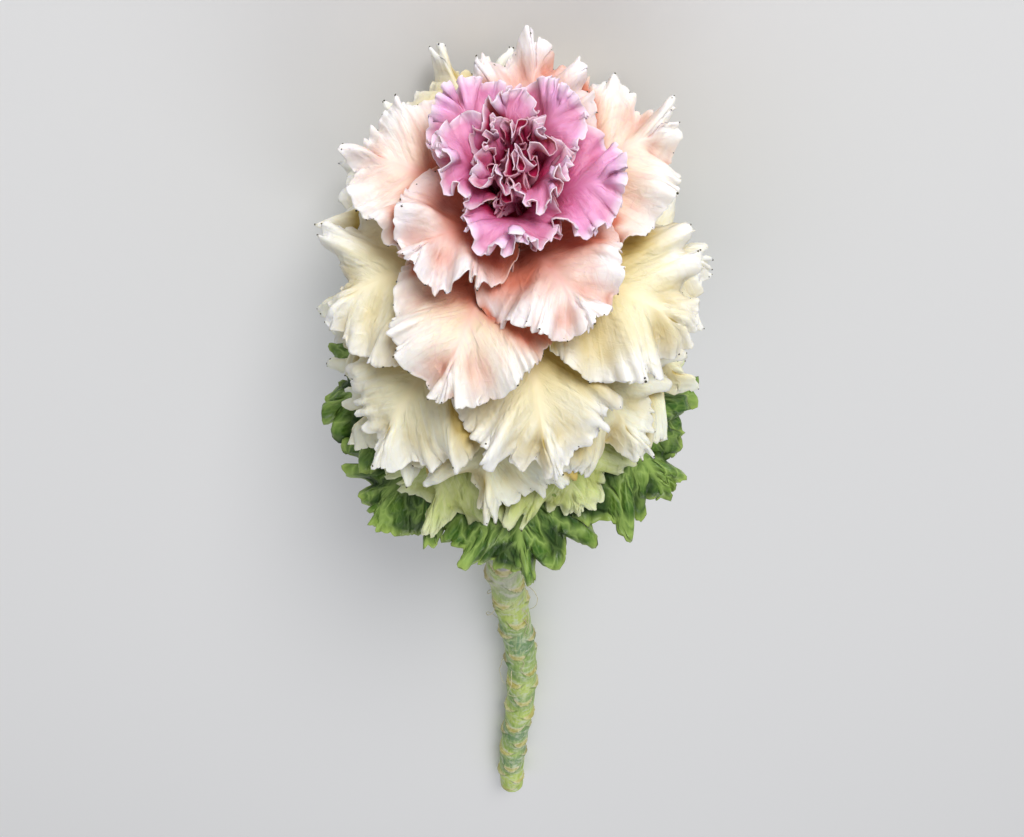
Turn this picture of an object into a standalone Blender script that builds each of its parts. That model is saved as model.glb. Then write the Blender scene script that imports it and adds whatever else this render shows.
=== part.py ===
# An ornamental kale cut as a flower stem, lying on the surface that it rests on.
# Metres, +Z up. The rosette faces -Y and the bare stalk runs away along +Y to its cut end.
# The head is laid out in its own frame: "out" is the distance from the head's axis and
# "along" the distance up that axis from the crown's top, towards the heart.

import math

import bmesh
import bpy
import numpy as np
from mathutils import Matrix, Vector

# Stalk, in metres
STALK_LENGTH = 0.425
STALK_RADIUS_CUT = 0.0068
STALK_RADIUS_TOP = 0.0080
STALK_SIDES = 12
STALK_RINGS = 68
STALK_SWAY = 0.0060
STALK_SWAY_BENDS = 1.1
CUT_SLANT_DEG = 12.0
CUT_ZONE = 0.04
STALK_COLOUR = (0.42, 0.52, 0.24)
STALK_ROUGHNESS = 0.6

# Scars that the shed leaves left on the stalk, bolder towards the head
SCAR_SPACING = 0.0072
FIRST_SCAR = 0.0050
SCAR_RISE = 0.0014
SCAR_RISE_NEAR_HEAD = 0.0026
SCAR_FADE = 3
SCAR_ABOVE = 0.0022
SCAR_BELOW = 0.0052
SCAR_HALF_ANGLE = 0.75

# Crown, the tapering top of the stalk that every leaf grows from. It is divided between the
# colour bands, which stand BAND_STEP apart and meet at BAND_SPLIT of the way between their roots
CROWN_LENGTH = 0.110
CROWN_RADIUS_TOP = 0.0024
CROWN_TAPER = 1.6
CROWN_SIDES = 10
CROWN_GAP = 0.0003
CROWN_TIP = 0.004
BAND_SPLIT = 0.60
BAND_STEP = 0.0034

# How the stem lies
HEAD_PITCH_DEG = 10.0
CUT_PITCH_DEG = 1.0
BEND_POWER = 1.8
FLOOR_SOFTNESS = 0.0038
REST_ZONE = 0.0006

# How the head's face leans up, and the tightest turn that a blade wraps round the head's axis
FACE_LEAN = 0.33
LEAST_WRAP = 0.0060

# The spiral that the leaves stand on
GOLDEN_ANGLE = math.radians(137.508)
FIRST_AZIMUTH = math.radians(-97.0)
SEED = 3
LENGTH_SPREAD = 0.05
WIDTH_SPREAD = 0.07

# Thickness of the blade, and of the midrib at its root as a share of the leaf's length
BLADE_THICKNESS = 0.0007
RIB_SHARE = 0.044
RIB_TAPER = 0.75
RIB_SHOULDER = 0.12

# Leaf outline. A leaf shorter than PETIOLE_FULL_LENGTH has a narrower foot. The foot's end and
# the widest place are shares of the length
PETIOLE_HALF_WIDTH = 0.0034
PETIOLE_FULL_LENGTH = 0.045
PETIOLE_END = 0.16
WIDEST_AT = 0.64
TIP_BLUNTNESS = 2.2

# Leaf root: sunk into the crown, and level up to ELBOW_END of the length, where it turns up
ROOT_DEPTH = 0.0040
ROOT_LEAST = 0.0006
ELBOW_END = 0.12
BEND_SHARPNESS = 1.35

# Grid of the blade, from the midrib to the margin
RIB_REACH = 0.72
RING_SWEEP = 1.15
RINGS = (0.0, 0.60, 1.0)
MERGE_DISTANCE = 0.000001

# Waves of the margin
STEPS_PER_WAVE = 4
WAVE_OFFSET = 0.25
WAVE_START = 0.20
WAVE_FULL = 0.58
WAVE_POWER = 1.7
WAVE_SPREAD = 0.22
CURL_SHARE = 0.30

# Leaf colours, from the lowest leaves up: node, leaves, waves round the margin, colour, roughness
BANDS = (
    ("green_leaves", 8, 8, (0.09, 0.27, 0.08), 0.55),
    ("lime_leaves", 5, 8, (0.55, 0.68, 0.26), 0.55),
    ("cream_leaves", 17, 8, (0.90, 0.87, 0.62), 0.55),
    ("blush_leaves", 6, 8, (0.93, 0.72, 0.66), 0.55),
    ("heart_leaves", 12, 5, (0.76, 0.25, 0.50), 0.50),
)
BAND_OF_LEAF = [index for index, band in enumerate(BANDS) for _ in range(band[1])]
LEAF_COUNT = len(BAND_OF_LEAF)
DRAWS = np.random.default_rng(SEED).uniform(-1.0, 1.0, (LEAF_COUNT, 3))

# Leaf form against its share of the spiral, 0 for the lowest leaf and 1 for the innermost:
# share, root along the axis, start and end slope in degrees above square to the axis,
# length, width, wave height
FORM = np.array(
    (
        (0.00, -0.0890, 12.0, -46.0, 0.062, 0.060, 0.0034),
        (0.15, -0.0772, 20.0, -64.0, 0.065, 0.062, 0.0036),
        (0.17, -0.0756, 22.0, -70.0, 0.057, 0.058, 0.0035),
        (0.27, -0.0650, 30.0, -80.0, 0.063, 0.059, 0.0036),
        (0.45, -0.0485, 44.0, -74.0, 0.066, 0.057, 0.0037),
        (0.57, -0.0365, 53.0, -48.0, 0.063, 0.054, 0.0036),
        (0.66, -0.0270, 61.0, -22.0, 0.056, 0.049, 0.0034),
        (0.73, -0.0200, 67.0, -4.0, 0.046, 0.043, 0.0031),
        (0.79, -0.0140, 72.0, 14.0, 0.036, 0.034, 0.0027),
        (0.88, -0.0070, 80.0, 45.0, 0.029, 0.026, 0.0022),
        (1.00, 0.0000, 87.0, 88.0, 0.019, 0.015, 0.0014),
    )
)


def smooth(low, high, value):
    """0 below low, 1 above high, and a smooth rise between."""
    t = np.clip((value - low) / (high - low), 0.0, 1.0)
    return t * t * (3.0 - 2.0 * t)


# How the stem lies on the surface

def pitch_at(back):
    """Slope of the stem, in radians, at a distance back from the crown's top."""
    past = np.clip((back - CROWN_LENGTH) / STALK_LENGTH, 0.0, 1.0)
    pitch = CUT_PITCH_DEG + (HEAD_PITCH_DEG - CUT_PITCH_DEG) * (1.0 - past) ** BEND_POWER
    return np.radians(pitch)


def centre_line(samples=400):
    """Distances back from the crown's top, and the stem's centre there."""
    back = np.linspace(0.0, CROWN_LENGTH + STALK_LENGTH, samples)
    slope = pitch_at(back)
    step = np.diff(back)
    run = np.concatenate(([0.0], np.cumsum(step * np.cos(slope[:-1]))))
    drop = np.concatenate(([0.0], np.cumsum(step * np.sin(slope[:-1]))))
    past = np.clip((back - CROWN_LENGTH) / STALK_LENGTH, 0.0, 1.0)
    sway = STALK_SWAY * np.sin(math.pi * past) * np.sin(2.0 * math.pi * STALK_SWAY_BENDS * past)
    height = STALK_RADIUS_CUT + drop[-1] - drop
    return back, np.stack((sway, run, height), axis=1)


LINE_BACK, LINE_POINTS = centre_line()
HEAD_PITCH = math.radians(HEAD_PITCH_DEG)
HEAD_ORIGIN = LINE_POINTS[0]
HEAD_RIGHT = np.array((1.0, 0.0, 0.0))
HEAD_UP = np.array((0.0, math.sin(HEAD_PITCH), math.cos(HEAD_PITCH)))
HEAD_AXIS = np.array((0.0, -math.cos(HEAD_PITCH), math.sin(HEAD_PITCH)))


def pressed(points):
    """Leaves that would reach below the surface flatten against it and keep their order."""
    result = points.copy()
    height = FLOOR_SOFTNESS * np.logaddexp(0.0, points[:, 2] / FLOOR_SOFTNESS)
    result[:, 2] = 0.5 * BLADE_THICKNESS + height
    return result


# One leaf

def leaf_form(rank):
    """What shapes one leaf, counted from the lowest."""
    share = rank / (LEAF_COUNT - 1)
    root, start, end, length, width, wave = (
        float(np.interp(share, FORM[:, 0], FORM[:, column])) for column in range(1, 7)
    )
    band = BAND_OF_LEAF[rank]
    return {
        "root": root - BAND_STEP * (len(BANDS) - 1 - band),
        "start": start,
        "end": end,
        "length": length * (1.0 + LENGTH_SPREAD * DRAWS[rank, 0]),
        "width": width * (1.0 + WIDTH_SPREAD * DRAWS[rank, 1]),
        "wave": wave,
        "waves": BANDS[band][2],
        "unevenness": DRAWS[rank, 2],
        "azimuth": FIRST_AZIMUTH + rank * GOLDEN_ANGLE,
    }


def crown_radius(along):
    """The crown's radius at a place on the head's axis."""
    share = np.clip(-along / CROWN_LENGTH, 0.0, 1.0)
    return CROWN_RADIUS_TOP + (STALK_RADIUS_TOP - CROWN_RADIUS_TOP) * share ** CROWN_TAPER


def rib_line(form, samples=160):
    """The midrib's course: distance run, out, along and slope."""
    run = np.linspace(0.0, form["length"], samples)
    rise = run / form["length"]
    slope = form["start"] + (form["end"] - form["start"]) * rise ** BEND_SHARPNESS
    slope = np.radians(slope * smooth(0.0, ELBOW_END, rise))
    step = form["length"] / (samples - 1)
    out = np.concatenate(([0.0], np.cumsum(np.cos(slope[:-1]) * step)))
    along = np.concatenate(([0.0], np.cumsum(np.sin(slope[:-1]) * step)))
    sunk = max(crown_radius(form["root"]) - ROOT_DEPTH, ROOT_LEAST)
    return run, sunk + out, form["root"] + along, slope


def half_outline(length, width, samples=500):
    """Half the margin, from the tip to the foot: across, up and distance from the tip."""
    up = 1.0 - np.linspace(0.0, 1.0, samples) ** 2
    past = np.clip((up - WIDEST_AT) / (1.0 - WIDEST_AT), 0.0, 1.0)
    foot = PETIOLE_HALF_WIDTH * min(1.0, length / PETIOLE_FULL_LENGTH)
    across = np.where(
        up > WIDEST_AT,
        0.5 * width * np.sqrt(1.0 - past ** TIP_BLUNTNESS),
        foot + (0.5 * width - foot) * smooth(PETIOLE_END, WIDEST_AT, up),
    )
    step = np.hypot(np.diff(across), np.diff(up * length))
    return across, up * length, np.concatenate(([0.0], np.cumsum(step)))


def leaf_points(form, grid):
    """Places (side, ring) pairs on one leaf, with each point's share of the leaf's length.

    Side runs from -1 to 1 round the margin, through 0 at the tip, and ring from 0 on the
    midrib to 1 on the margin.
    """
    length = form["length"]
    side, ring = grid[:, 0], grid[:, 1]
    across, up, far = half_outline(length, form["width"])
    reach = np.abs(side) * far[-1]
    margin_x = np.interp(reach, far, across) * np.sign(side)
    margin_y = np.interp(reach, far, up)
    rib_y = RIB_REACH * margin_y
    flat_x = ring * margin_x
    flat_y = rib_y + (margin_y - rib_y) * ring ** RING_SWEEP
    rise = flat_y / length

    # The waves grow towards the margin and die out towards the foot
    phase = math.pi * (form["waves"] * side + WAVE_OFFSET)
    swell = form["wave"] * ring ** WAVE_POWER * smooth(WAVE_START, WAVE_FULL, rise)
    swell = swell * (1.0 + WAVE_SPREAD * np.sin(2.0 * math.pi * (side + form["unevenness"])))
    lift = swell * np.sin(phase)
    curl = CURL_SHARE * swell * np.cos(phase)
    flat_x = flat_x + curl * np.cos(math.pi * side)
    flat_y = flat_y - curl * np.sin(math.pi * side)

    # The blade wraps round the head's axis, on the shell that its midrib sweeps
    run, out, along, slope = rib_line(form)
    at_slope = np.interp(flat_y, run, slope)
    past_tip = np.maximum(flat_y - length, 0.0)
    at_out = np.interp(flat_y, run, out) + past_tip * np.cos(at_slope)
    at_along = np.interp(flat_y, run, along) + past_tip * np.sin(at_slope)
    turn = form["azimuth"] + flat_x / np.hypot(at_out, LEAST_WRAP)
    at_out = at_out - lift * np.sin(at_slope)
    at_along = at_along + lift * np.cos(at_slope) - FACE_LEAN * at_out * np.sin(turn)
    world = (
        HEAD_ORIGIN
        + np.outer(at_out * np.cos(turn), HEAD_RIGHT)
        + np.outer(at_out * np.sin(turn), HEAD_UP)
        + np.outer(at_along, HEAD_AXIS)
    )
    return pressed(world), rise


def make_leaf(rank, material):
    """An open blade, split into triangles, with its thickness and its midrib from Solidify."""
    form = leaf_form(rank)
    half = STEPS_PER_WAVE * form["waves"] // 2
    rings = len(RINGS) - 1
    bm = bmesh.new()
    bmesh.ops.create_grid(bm, x_segments=2 * half, y_segments=rings, size=1.0)
    raw = np.array([vert.co[:2] for vert in bm.verts])
    ring_index = np.rint((raw[:, 1] + 1.0) * 0.5 * rings).astype(int)
    grid = np.stack((np.round(raw[:, 0] * half) / half, np.array(RINGS)[ring_index]), axis=1)
    world, rise = leaf_points(form, grid)
    weight = np.where(ring_index == 0, 1.0 - RIB_TAPER * rise, 0.0)
    weight = np.where(ring_index == 1, RIB_SHOULDER, weight)
    layer = bm.verts.layers.deform.verify()
    for vert, place, rib in zip(bm.verts, world, weight):
        vert.co = place
        vert[layer][0] = float(rib)
    bmesh.ops.remove_doubles(bm, verts=bm.verts, dist=MERGE_DISTANCE)
    bmesh.ops.triangulate(bm, faces=bm.faces)
    mesh = bpy.data.meshes.new(f"leaf_{rank}")
    bm.to_mesh(mesh)
    bm.free()
    mesh.materials.append(material)
    leaf = bpy.data.objects.new(f"leaf_{rank}", mesh)
    leaf.vertex_groups.new(name="rib")
    skin = leaf.modifiers.new("thickness", "SOLIDIFY")
    skin.thickness = RIB_SHARE * form["length"]
    skin.offset = 0.0
    skin.vertex_group = "rib"
    skin.thickness_vertex_group = BLADE_THICKNESS / skin.thickness
    return leaf


# One band of leaves of one colour, with its length of the crown

def make_core(name, low, high, material):
    """A length of the crown, between two distances along the head's axis."""
    bm = bmesh.new()
    bmesh.ops.create_cone(
        bm,
        cap_ends=True,
        segments=CROWN_SIDES,
        radius1=float(crown_radius(low)),
        radius2=float(crown_radius(high)),
        depth=high - low,
    )
    mesh = bpy.data.meshes.new(name)
    bm.to_mesh(mesh)
    bm.free()
    mesh.materials.append(material)
    core = bpy.data.objects.new(name, mesh)
    turn = Matrix((HEAD_RIGHT, HEAD_UP, HEAD_AXIS)).transposed().to_4x4()
    centre = Vector(HEAD_ORIGIN + HEAD_AXIS * 0.5 * (low + high))
    core.matrix_world = Matrix.Translation(centre) @ turn
    return core


def fuse(core, leaves, parts):
    """Joins the leaves to their core as one body."""
    loose = bpy.data.collections.new(core.name + "_loose")
    bpy.context.scene.collection.children.link(loose)
    for leaf in leaves:
        loose.objects.link(leaf)
    parts.objects.link(core)
    union = core.modifiers.new("join", "BOOLEAN")
    union.operation = "UNION"
    union.operand_type = "COLLECTION"
    union.collection = loose
    union.solver = "MANIFOLD"
    bpy.context.view_layer.update()
    graph = bpy.context.evaluated_depsgraph_get()
    joined = bpy.data.meshes.new_from_object(core.evaluated_get(graph))
    core.modifiers.clear()
    core.data = joined
    for leaf in leaves:
        bpy.data.objects.remove(leaf)
    bpy.data.collections.remove(loose)


def make_material(name, colour, roughness):
    """A plain material of one colour."""
    material = bpy.data.materials.new(name)
    material.use_nodes = True
    shader = material.node_tree.nodes["Principled BSDF"]
    shader.inputs["Base Color"].default_value = (*colour, 1.0)
    shader.inputs["Roughness"].default_value = roughness
    shader.inputs["Metallic"].default_value = 0.0
    return material


def split_at(rank):
    """Where the crown is divided between the leaf below this one and this one."""
    below, above = leaf_form(rank - 1)["root"], leaf_form(rank)["root"]
    return below + BAND_SPLIT * (above - below)


def core_span(band):
    """Where a band's length of the crown begins and ends, and the leaves that stand on it."""
    ranks = [rank for rank in range(LEAF_COUNT) if BAND_OF_LEAF[rank] == band]
    low, high = -CROWN_LENGTH, CROWN_TIP
    if band > 0:
        low = split_at(ranks[0])
    if band < len(BANDS) - 1:
        high = split_at(ranks[-1] + 1) - CROWN_GAP
    return low, high, ranks


def make_bands(parts):
    """Every band of leaves, from the lowest up, on one golden-angle spiral."""
    for band, (name, _, _, colour, roughness) in enumerate(BANDS):
        material = make_material(name, colour, roughness)
        low, high, ranks = core_span(band)
        core = make_core(name, low, high, material)
        fuse(core, [make_leaf(rank, material) for rank in ranks], parts)


# The bare stalk, with the scars that its shed leaves left

def stalk_radius(back, turn):
    """Distance of the stalk's surface from its centre line."""
    past = (back - CROWN_LENGTH) / STALK_LENGTH
    radius = STALK_RADIUS_TOP + (STALK_RADIUS_CUT - STALK_RADIUS_TOP) * past
    swell = np.zeros_like(radius)
    for scar in range(int(STALK_LENGTH / SCAR_SPACING)):
        place = CROWN_LENGTH + FIRST_SCAR + scar * SCAR_SPACING
        around = (turn - scar * GOLDEN_ANGLE + math.pi) % (2.0 * math.pi) - math.pi
        off = back - place
        lip = np.exp(-(off / np.where(off > 0.0, SCAR_BELOW, SCAR_ABOVE)) ** 2)
        swell = np.maximum(swell, lip * np.exp(-((around / SCAR_HALF_ANGLE) ** 2)))
    rise = SCAR_RISE + (SCAR_RISE_NEAR_HEAD - SCAR_RISE) * (1.0 - past) ** SCAR_FADE
    return radius + rise * swell * smooth(0.0, CUT_ZONE, 1.0 - past)


def make_stalk(parts):
    """A tube of rings on the centre line, cut off on a slant and closed at both ends."""
    bm = bmesh.new()
    bmesh.ops.create_cone(
        bm, cap_ends=True, segments=STALK_SIDES, radius1=1.0, radius2=1.0, depth=1.0
    )
    sides = [edge for edge in bm.edges if abs(edge.verts[0].co.z - edge.verts[1].co.z) > 0.5]
    bmesh.ops.subdivide_edges(bm, edges=sides, cuts=STALK_RINGS - 1)
    raw = np.array([vert.co[:] for vert in bm.verts])
    past = 0.5 - raw[:, 2]
    turn = np.arctan2(raw[:, 1], raw[:, 0])
    back = CROWN_LENGTH + CROWN_GAP + (STALK_LENGTH - CROWN_GAP) * past
    radius = stalk_radius(back, turn)
    slant = math.tan(math.radians(CUT_SLANT_DEG)) * radius * np.sin(turn)
    back = back - slant * smooth(1.0 - CUT_ZONE, 1.0, past)
    slope = pitch_at(back)
    centre = np.stack([np.interp(back, LINE_BACK, LINE_POINTS[:, k]) for k in range(3)], axis=1)
    up = np.stack((np.zeros_like(slope), np.sin(slope), np.cos(slope)), axis=1)
    place = centre + (radius * np.cos(turn))[:, None] * HEAD_RIGHT
    place = place + (radius * np.sin(turn))[:, None] * up
    place[:, 2] = np.maximum(place[:, 2], 0.0)
    for vert, point in zip(bm.verts, place):
        vert.co = point
    mesh = bpy.data.meshes.new("stalk")
    bm.to_mesh(mesh)
    bm.free()
    mesh.shade_smooth()
    mesh.materials.append(make_material("stalk", STALK_COLOUR, STALK_ROUGHNESS))
    parts.objects.link(bpy.data.objects.new("stalk", mesh))


def lay_down(parts):
    """Puts the origin under the part's middle, and lays flat what nearly meets the surface."""
    for obj in parts.objects:
        obj.data.transform(obj.matrix_world)
        obj.matrix_world = Matrix.Identity(4)
    corners = np.array([vert.co[:] for obj in parts.objects for vert in obj.data.vertices])
    middle = 0.5 * (corners.min(axis=0) + corners.max(axis=0))
    shift = Vector((-middle[0], -middle[1], -corners[:, 2].min()))
    for obj in parts.objects:
        for vert in obj.data.vertices:
            vert.co += shift
            if vert.co.z < REST_ZONE:
                vert.co.z = 0.0


def main():
    for obj in list(bpy.data.objects):
        bpy.data.objects.remove(obj)
    parts = bpy.data.collections.new("ornamental_kale_stem")
    bpy.context.scene.collection.children.link(parts)
    make_stalk(parts)
    make_bands(parts)
    bpy.context.view_layer.update()
    lay_down(parts)


main()
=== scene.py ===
import math

import bpy
import numpy as np
from mathutils import Matrix, Vector
from mathutils.bvhtree import BVHTree


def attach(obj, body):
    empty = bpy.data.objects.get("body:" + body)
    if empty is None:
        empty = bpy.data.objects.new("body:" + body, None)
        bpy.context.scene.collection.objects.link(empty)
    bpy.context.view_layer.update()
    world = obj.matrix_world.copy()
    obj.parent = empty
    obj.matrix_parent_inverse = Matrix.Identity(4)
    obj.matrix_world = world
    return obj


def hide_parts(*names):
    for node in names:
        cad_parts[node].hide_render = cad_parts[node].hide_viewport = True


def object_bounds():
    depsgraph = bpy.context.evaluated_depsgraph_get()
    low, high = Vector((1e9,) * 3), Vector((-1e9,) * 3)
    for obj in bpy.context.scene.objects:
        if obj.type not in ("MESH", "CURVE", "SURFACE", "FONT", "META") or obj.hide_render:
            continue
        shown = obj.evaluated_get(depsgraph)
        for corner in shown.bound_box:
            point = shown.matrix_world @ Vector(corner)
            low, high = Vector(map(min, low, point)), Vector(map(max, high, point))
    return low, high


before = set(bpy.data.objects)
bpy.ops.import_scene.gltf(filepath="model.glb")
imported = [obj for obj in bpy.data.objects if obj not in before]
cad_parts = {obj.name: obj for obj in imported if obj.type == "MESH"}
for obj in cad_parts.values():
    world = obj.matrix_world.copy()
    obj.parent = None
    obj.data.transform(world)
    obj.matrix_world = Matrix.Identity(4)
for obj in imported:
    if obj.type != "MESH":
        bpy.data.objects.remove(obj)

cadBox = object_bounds()
goldenAngle = math.radians(137.508)

# the stem's course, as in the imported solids, so that each leaf keeps its form
stem = {
    "stalkLength": 0.425, "radiusAtCut": 0.0068, "radiusAtHead": 0.0080,
    "sway": 0.0060, "swayBends": 1.1,
    "cutSlant": 12.0,  # degrees
    "cutZone": 0.04,  # share of the stalk's length
    "headPitch": 10.0, "cutPitch": 1.0, "bendPower": 1.8,  # degrees
    "crownLength": 0.110, "crownTop": 0.0024, "crownTaper": 1.6, "crownTip": 0.004,
    "gap": 0.0003,  # between two nodes' lengths of the crown
    "shift": (0.000069432, -0.253735393, 0.0),  # puts the origin under the part's middle
}

# the spiral of the head and the form of its leaves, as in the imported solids
head = {
    "firstAzimuth": math.radians(-97.0), "seed": 3, "lengthSpread": 0.05, "widthSpread": 0.07,
    "bandStep": 0.0034, "bandSplit": 0.60,
    "faceLean": 0.33, "leastWrap": 0.0060, "floorSoftness": 0.0038, "bladeThickness": 0.0007,
    "footHalfWidth": 0.0034, "footFullLength": 0.045, "footEnd": 0.16, "widestAt": 0.64, "tipBluntness": 2.2,
    "rootDepth": 0.0040, "rootLeast": 0.0006, "elbowEnd": 0.12, "bendSharpness": 1.35,
    "ribShare": 0.044, "ringSweep": 1.15,
    "waveOffset": 0.25, "waveStart": 0.20, "waveFull": 0.58, "waveSpread": 0.22, "curlShare": 0.30,
    # share of the spiral, root, start and end slope in degrees, length, width, wave
    "form": np.array((
        (0.00, -0.0890, 12.0, -46.0, 0.062, 0.060, 0.0034),
        (0.15, -0.0772, 20.0, -64.0, 0.065, 0.062, 0.0036),
        (0.17, -0.0756, 22.0, -70.0, 0.057, 0.058, 0.0035),
        (0.27, -0.0650, 30.0, -80.0, 0.063, 0.059, 0.0036),
        (0.45, -0.0485, 44.0, -74.0, 0.066, 0.057, 0.0037),
        (0.57, -0.0365, 53.0, -48.0, 0.063, 0.054, 0.0036),
        (0.66, -0.0270, 61.0, -22.0, 0.056, 0.049, 0.0034),
        (0.73, -0.0200, 67.0, -4.0, 0.046, 0.043, 0.0031),
        (0.79, -0.0140, 72.0, 14.0, 0.036, 0.034, 0.0027),
        (0.88, -0.0070, 80.0, 45.0, 0.029, 0.026, 0.0022),
        (1.00, 0.0000, 87.0, 88.0, 0.019, 0.015, 0.0014),
    )),
}

bands = (  # node, leaves, broad waves round a margin
    ("green_leaves", 8, 8),
    ("lime_leaves", 5, 8),
    ("cream_leaves", 17, 8),
    ("blush_leaves", 6, 8),
    ("heart_leaves", 12, 5),
)
bandOfLeaf = [index for index, band in enumerate(bands) for _ in range(band[1])]
leafCount = len(bandOfLeaf)
draws = np.random.default_rng(head["seed"]).uniform(-1.0, 1.0, (leafCount, 3))


def smooth(low, high, value):
    t = np.clip((value - low) / (high - low), 0.0, 1.0)
    return t * t * (3.0 - 2.0 * t)


def pastHead(back):
    return np.clip((back - stem["crownLength"]) / stem["stalkLength"], 0.0, 1.0)


def pitchAt(back):
    rise = (1.0 - pastHead(back)) ** stem["bendPower"]
    return np.radians(stem["cutPitch"] + (stem["headPitch"] - stem["cutPitch"]) * rise)


def centreLine(samples=400):
    back = np.linspace(0.0, stem["crownLength"] + stem["stalkLength"], samples)
    slope = pitchAt(back)
    step = np.diff(back)
    run = np.concatenate(([0.0], np.cumsum(step * np.cos(slope[:-1]))))
    drop = np.concatenate(([0.0], np.cumsum(step * np.sin(slope[:-1]))))
    past = pastHead(back)
    sway = stem["sway"] * np.sin(math.pi * past) * np.sin(2.0 * math.pi * stem["swayBends"] * past)
    height = stem["radiusAtCut"] + drop[-1] - drop
    return back, np.stack((sway, run, height), axis=1)


lineBack, linePoints = centreLine()
headPitch = math.radians(stem["headPitch"])
headOrigin = linePoints[0]
headRight = np.array((1.0, 0.0, 0.0))
headUp = np.array((0.0, math.sin(headPitch), math.cos(headPitch)))
headAxis = np.array((0.0, -math.cos(headPitch), math.sin(headPitch)))
shift = np.array(stem["shift"])


def crownRadius(along):
    share = np.clip(-along / stem["crownLength"], 0.0, 1.0)
    return stem["crownTop"] + (stem["radiusAtHead"] - stem["crownTop"]) * share ** stem["crownTaper"]


def leafForm(rank):
    share = rank / (leafCount - 1)
    form = head["form"]
    root, start, end, length, width, wave = (
        float(np.interp(share, form[:, 0], form[:, column])) for column in range(1, 7)
    )
    band = bandOfLeaf[rank]
    return {
        "rank": rank,
        "share": share,
        "root": root - head["bandStep"] * (len(bands) - 1 - band),
        "start": start,
        "end": end,
        "length": length * (1.0 + head["lengthSpread"] * draws[rank, 0]),
        "width": width * (1.0 + head["widthSpread"] * draws[rank, 1]),
        "wave": wave,
        "waves": bands[band][2],
        "unevenness": draws[rank, 2],
        "azimuth": head["firstAzimuth"] + rank * goldenAngle,
    }


def ribLine(form, samples=240):
    run = np.linspace(0.0, form["length"], samples)
    rise = run / form["length"]
    slope = form["start"] + (form["end"] - form["start"]) * rise ** head["bendSharpness"]
    slope = np.radians(slope * smooth(0.0, head["elbowEnd"], rise))
    step = form["length"] / (samples - 1)
    out = np.concatenate(([0.0], np.cumsum(np.cos(slope[:-1]) * step)))
    along = np.concatenate(([0.0], np.cumsum(np.sin(slope[:-1]) * step)))
    sunk = max(crownRadius(form["root"]) - head["rootDepth"], head["rootLeast"])
    return run, sunk + out, form["root"] + along, slope


def halfOutline(length, width, samples=900):
    up = 1.0 - np.linspace(0.0, 1.0, samples) ** 2
    past = np.clip((up - head["widestAt"]) / (1.0 - head["widestAt"]), 0.0, 1.0)
    foot = head["footHalfWidth"] * min(1.0, length / head["footFullLength"])
    across = np.where(
        up > head["widestAt"],
        0.5 * width * np.sqrt(1.0 - past ** head["tipBluntness"]),
        foot + (0.5 * width - foot) * smooth(head["footEnd"], head["widestAt"], up),
    )
    step = np.hypot(np.diff(across), np.diff(up * length))
    return across, up * length, np.concatenate(([0.0], np.cumsum(step)))


def wobble(rng, where, slowest, fastest, parts=5):
    # a smooth random curve, about -1 to 1, from a few sines
    total = np.zeros_like(where)
    for _ in range(parts):
        pace = rng.uniform(slowest, fastest)
        total = total + np.sin(2.0 * math.pi * pace * where + rng.uniform(0.0, 2.0 * math.pi))
    return total / math.sqrt(parts)


def keptInside(points, room=0.0):
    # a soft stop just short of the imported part's own box, and the surface that the stem lies on
    low, high = np.array(cadBox[0]) + room, np.array(cadBox[1]) - room
    softness = 0.0006
    kept = points.copy()
    for axis in (0, 1, 2):
        kept[:, axis] = high[axis] - softness * np.logaddexp(0.0, (high[axis] - kept[:, axis]) / softness)
        if axis < 2:
            kept[:, axis] = low[axis] + softness * np.logaddexp(0.0, (kept[:, axis] - low[axis]) / softness)
    kept[:, 2] = np.maximum(kept[:, 2], room)
    return kept


# a leaf is a fan of columns round its margin and rows from its midrib out, finer towards the margin
# a wave of the frill: its width, its height, how far in it reaches, how deep it notches the margin
# broad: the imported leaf's own waves, as a share of their height, and how far in they reach
frills = {
    "green_leaves": {
        "lobe": (0.0105, 0.0026, 0.0110, 0.0050), "pleat": (0.0050, 0.0015, 0.0062, 0.0024),
        "tooth": (0.0025, 0.00050, 0.0024, 0.00080), "broad": (0.90, 0.018), "meander": 0.20, "lean": 0.9,
        "column": 0.00056, "roll": 0.0010, "quilt": 0.00110, "margin": 0.00040, "blade": 0.00060,
    },
    "lime_leaves": {
        "lobe": (0.0108, 0.0020, 0.0100, 0.0044), "pleat": (0.0044, 0.0013, 0.0046, 0.0019),
        "tooth": (0.0023, 0.00050, 0.0020, 0.00060), "broad": (0.85, 0.018), "meander": 0.20, "lean": 0.9,
        "column": 0.00050, "roll": 0.0010, "quilt": 0.00050, "margin": 0.00034, "blade": 0.00055,
    },
    "cream_leaves": {
        "lobe": (0.0108, 0.0025, 0.0110, 0.0036), "pleat": (0.0044, 0.00155, 0.0046, 0.0016),
        "tooth": (0.0023, 0.00060, 0.0018, 0.00055), "broad": (1.00, 0.020), "meander": 0.17, "lean": 0.9,
        "column": 0.00043, "roll": 0.0015, "quilt": 0.00044, "margin": 0.00032, "blade": 0.00055,
    },
    "blush_leaves": {
        "lobe": (0.0094, 0.0024, 0.0096, 0.0030), "pleat": (0.0040, 0.00145, 0.0042, 0.0014),
        "tooth": (0.0021, 0.00056, 0.0017, 0.00050), "broad": (0.95, 0.018), "meander": 0.17, "lean": 0.8,
        "column": 0.00040, "roll": 0.0013, "quilt": 0.00038, "margin": 0.00030, "blade": 0.00050,
    },
    "heart_leaves": {
        "lobe": (0.0062, 0.0023, 0.0068, 0.0020), "pleat": (0.0027, 0.0010, 0.0030, 0.0010),
        "tooth": (0.0016, 0.00034, 0.0012, 0.00036), "broad": (0.85, 0.011), "meander": 0.45, "lean": 0.5,
        "column": 0.00034, "roll": 0.0007, "quilt": 0.00028, "margin": 0.00028, "blade": 0.00045,
    },
}
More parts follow.
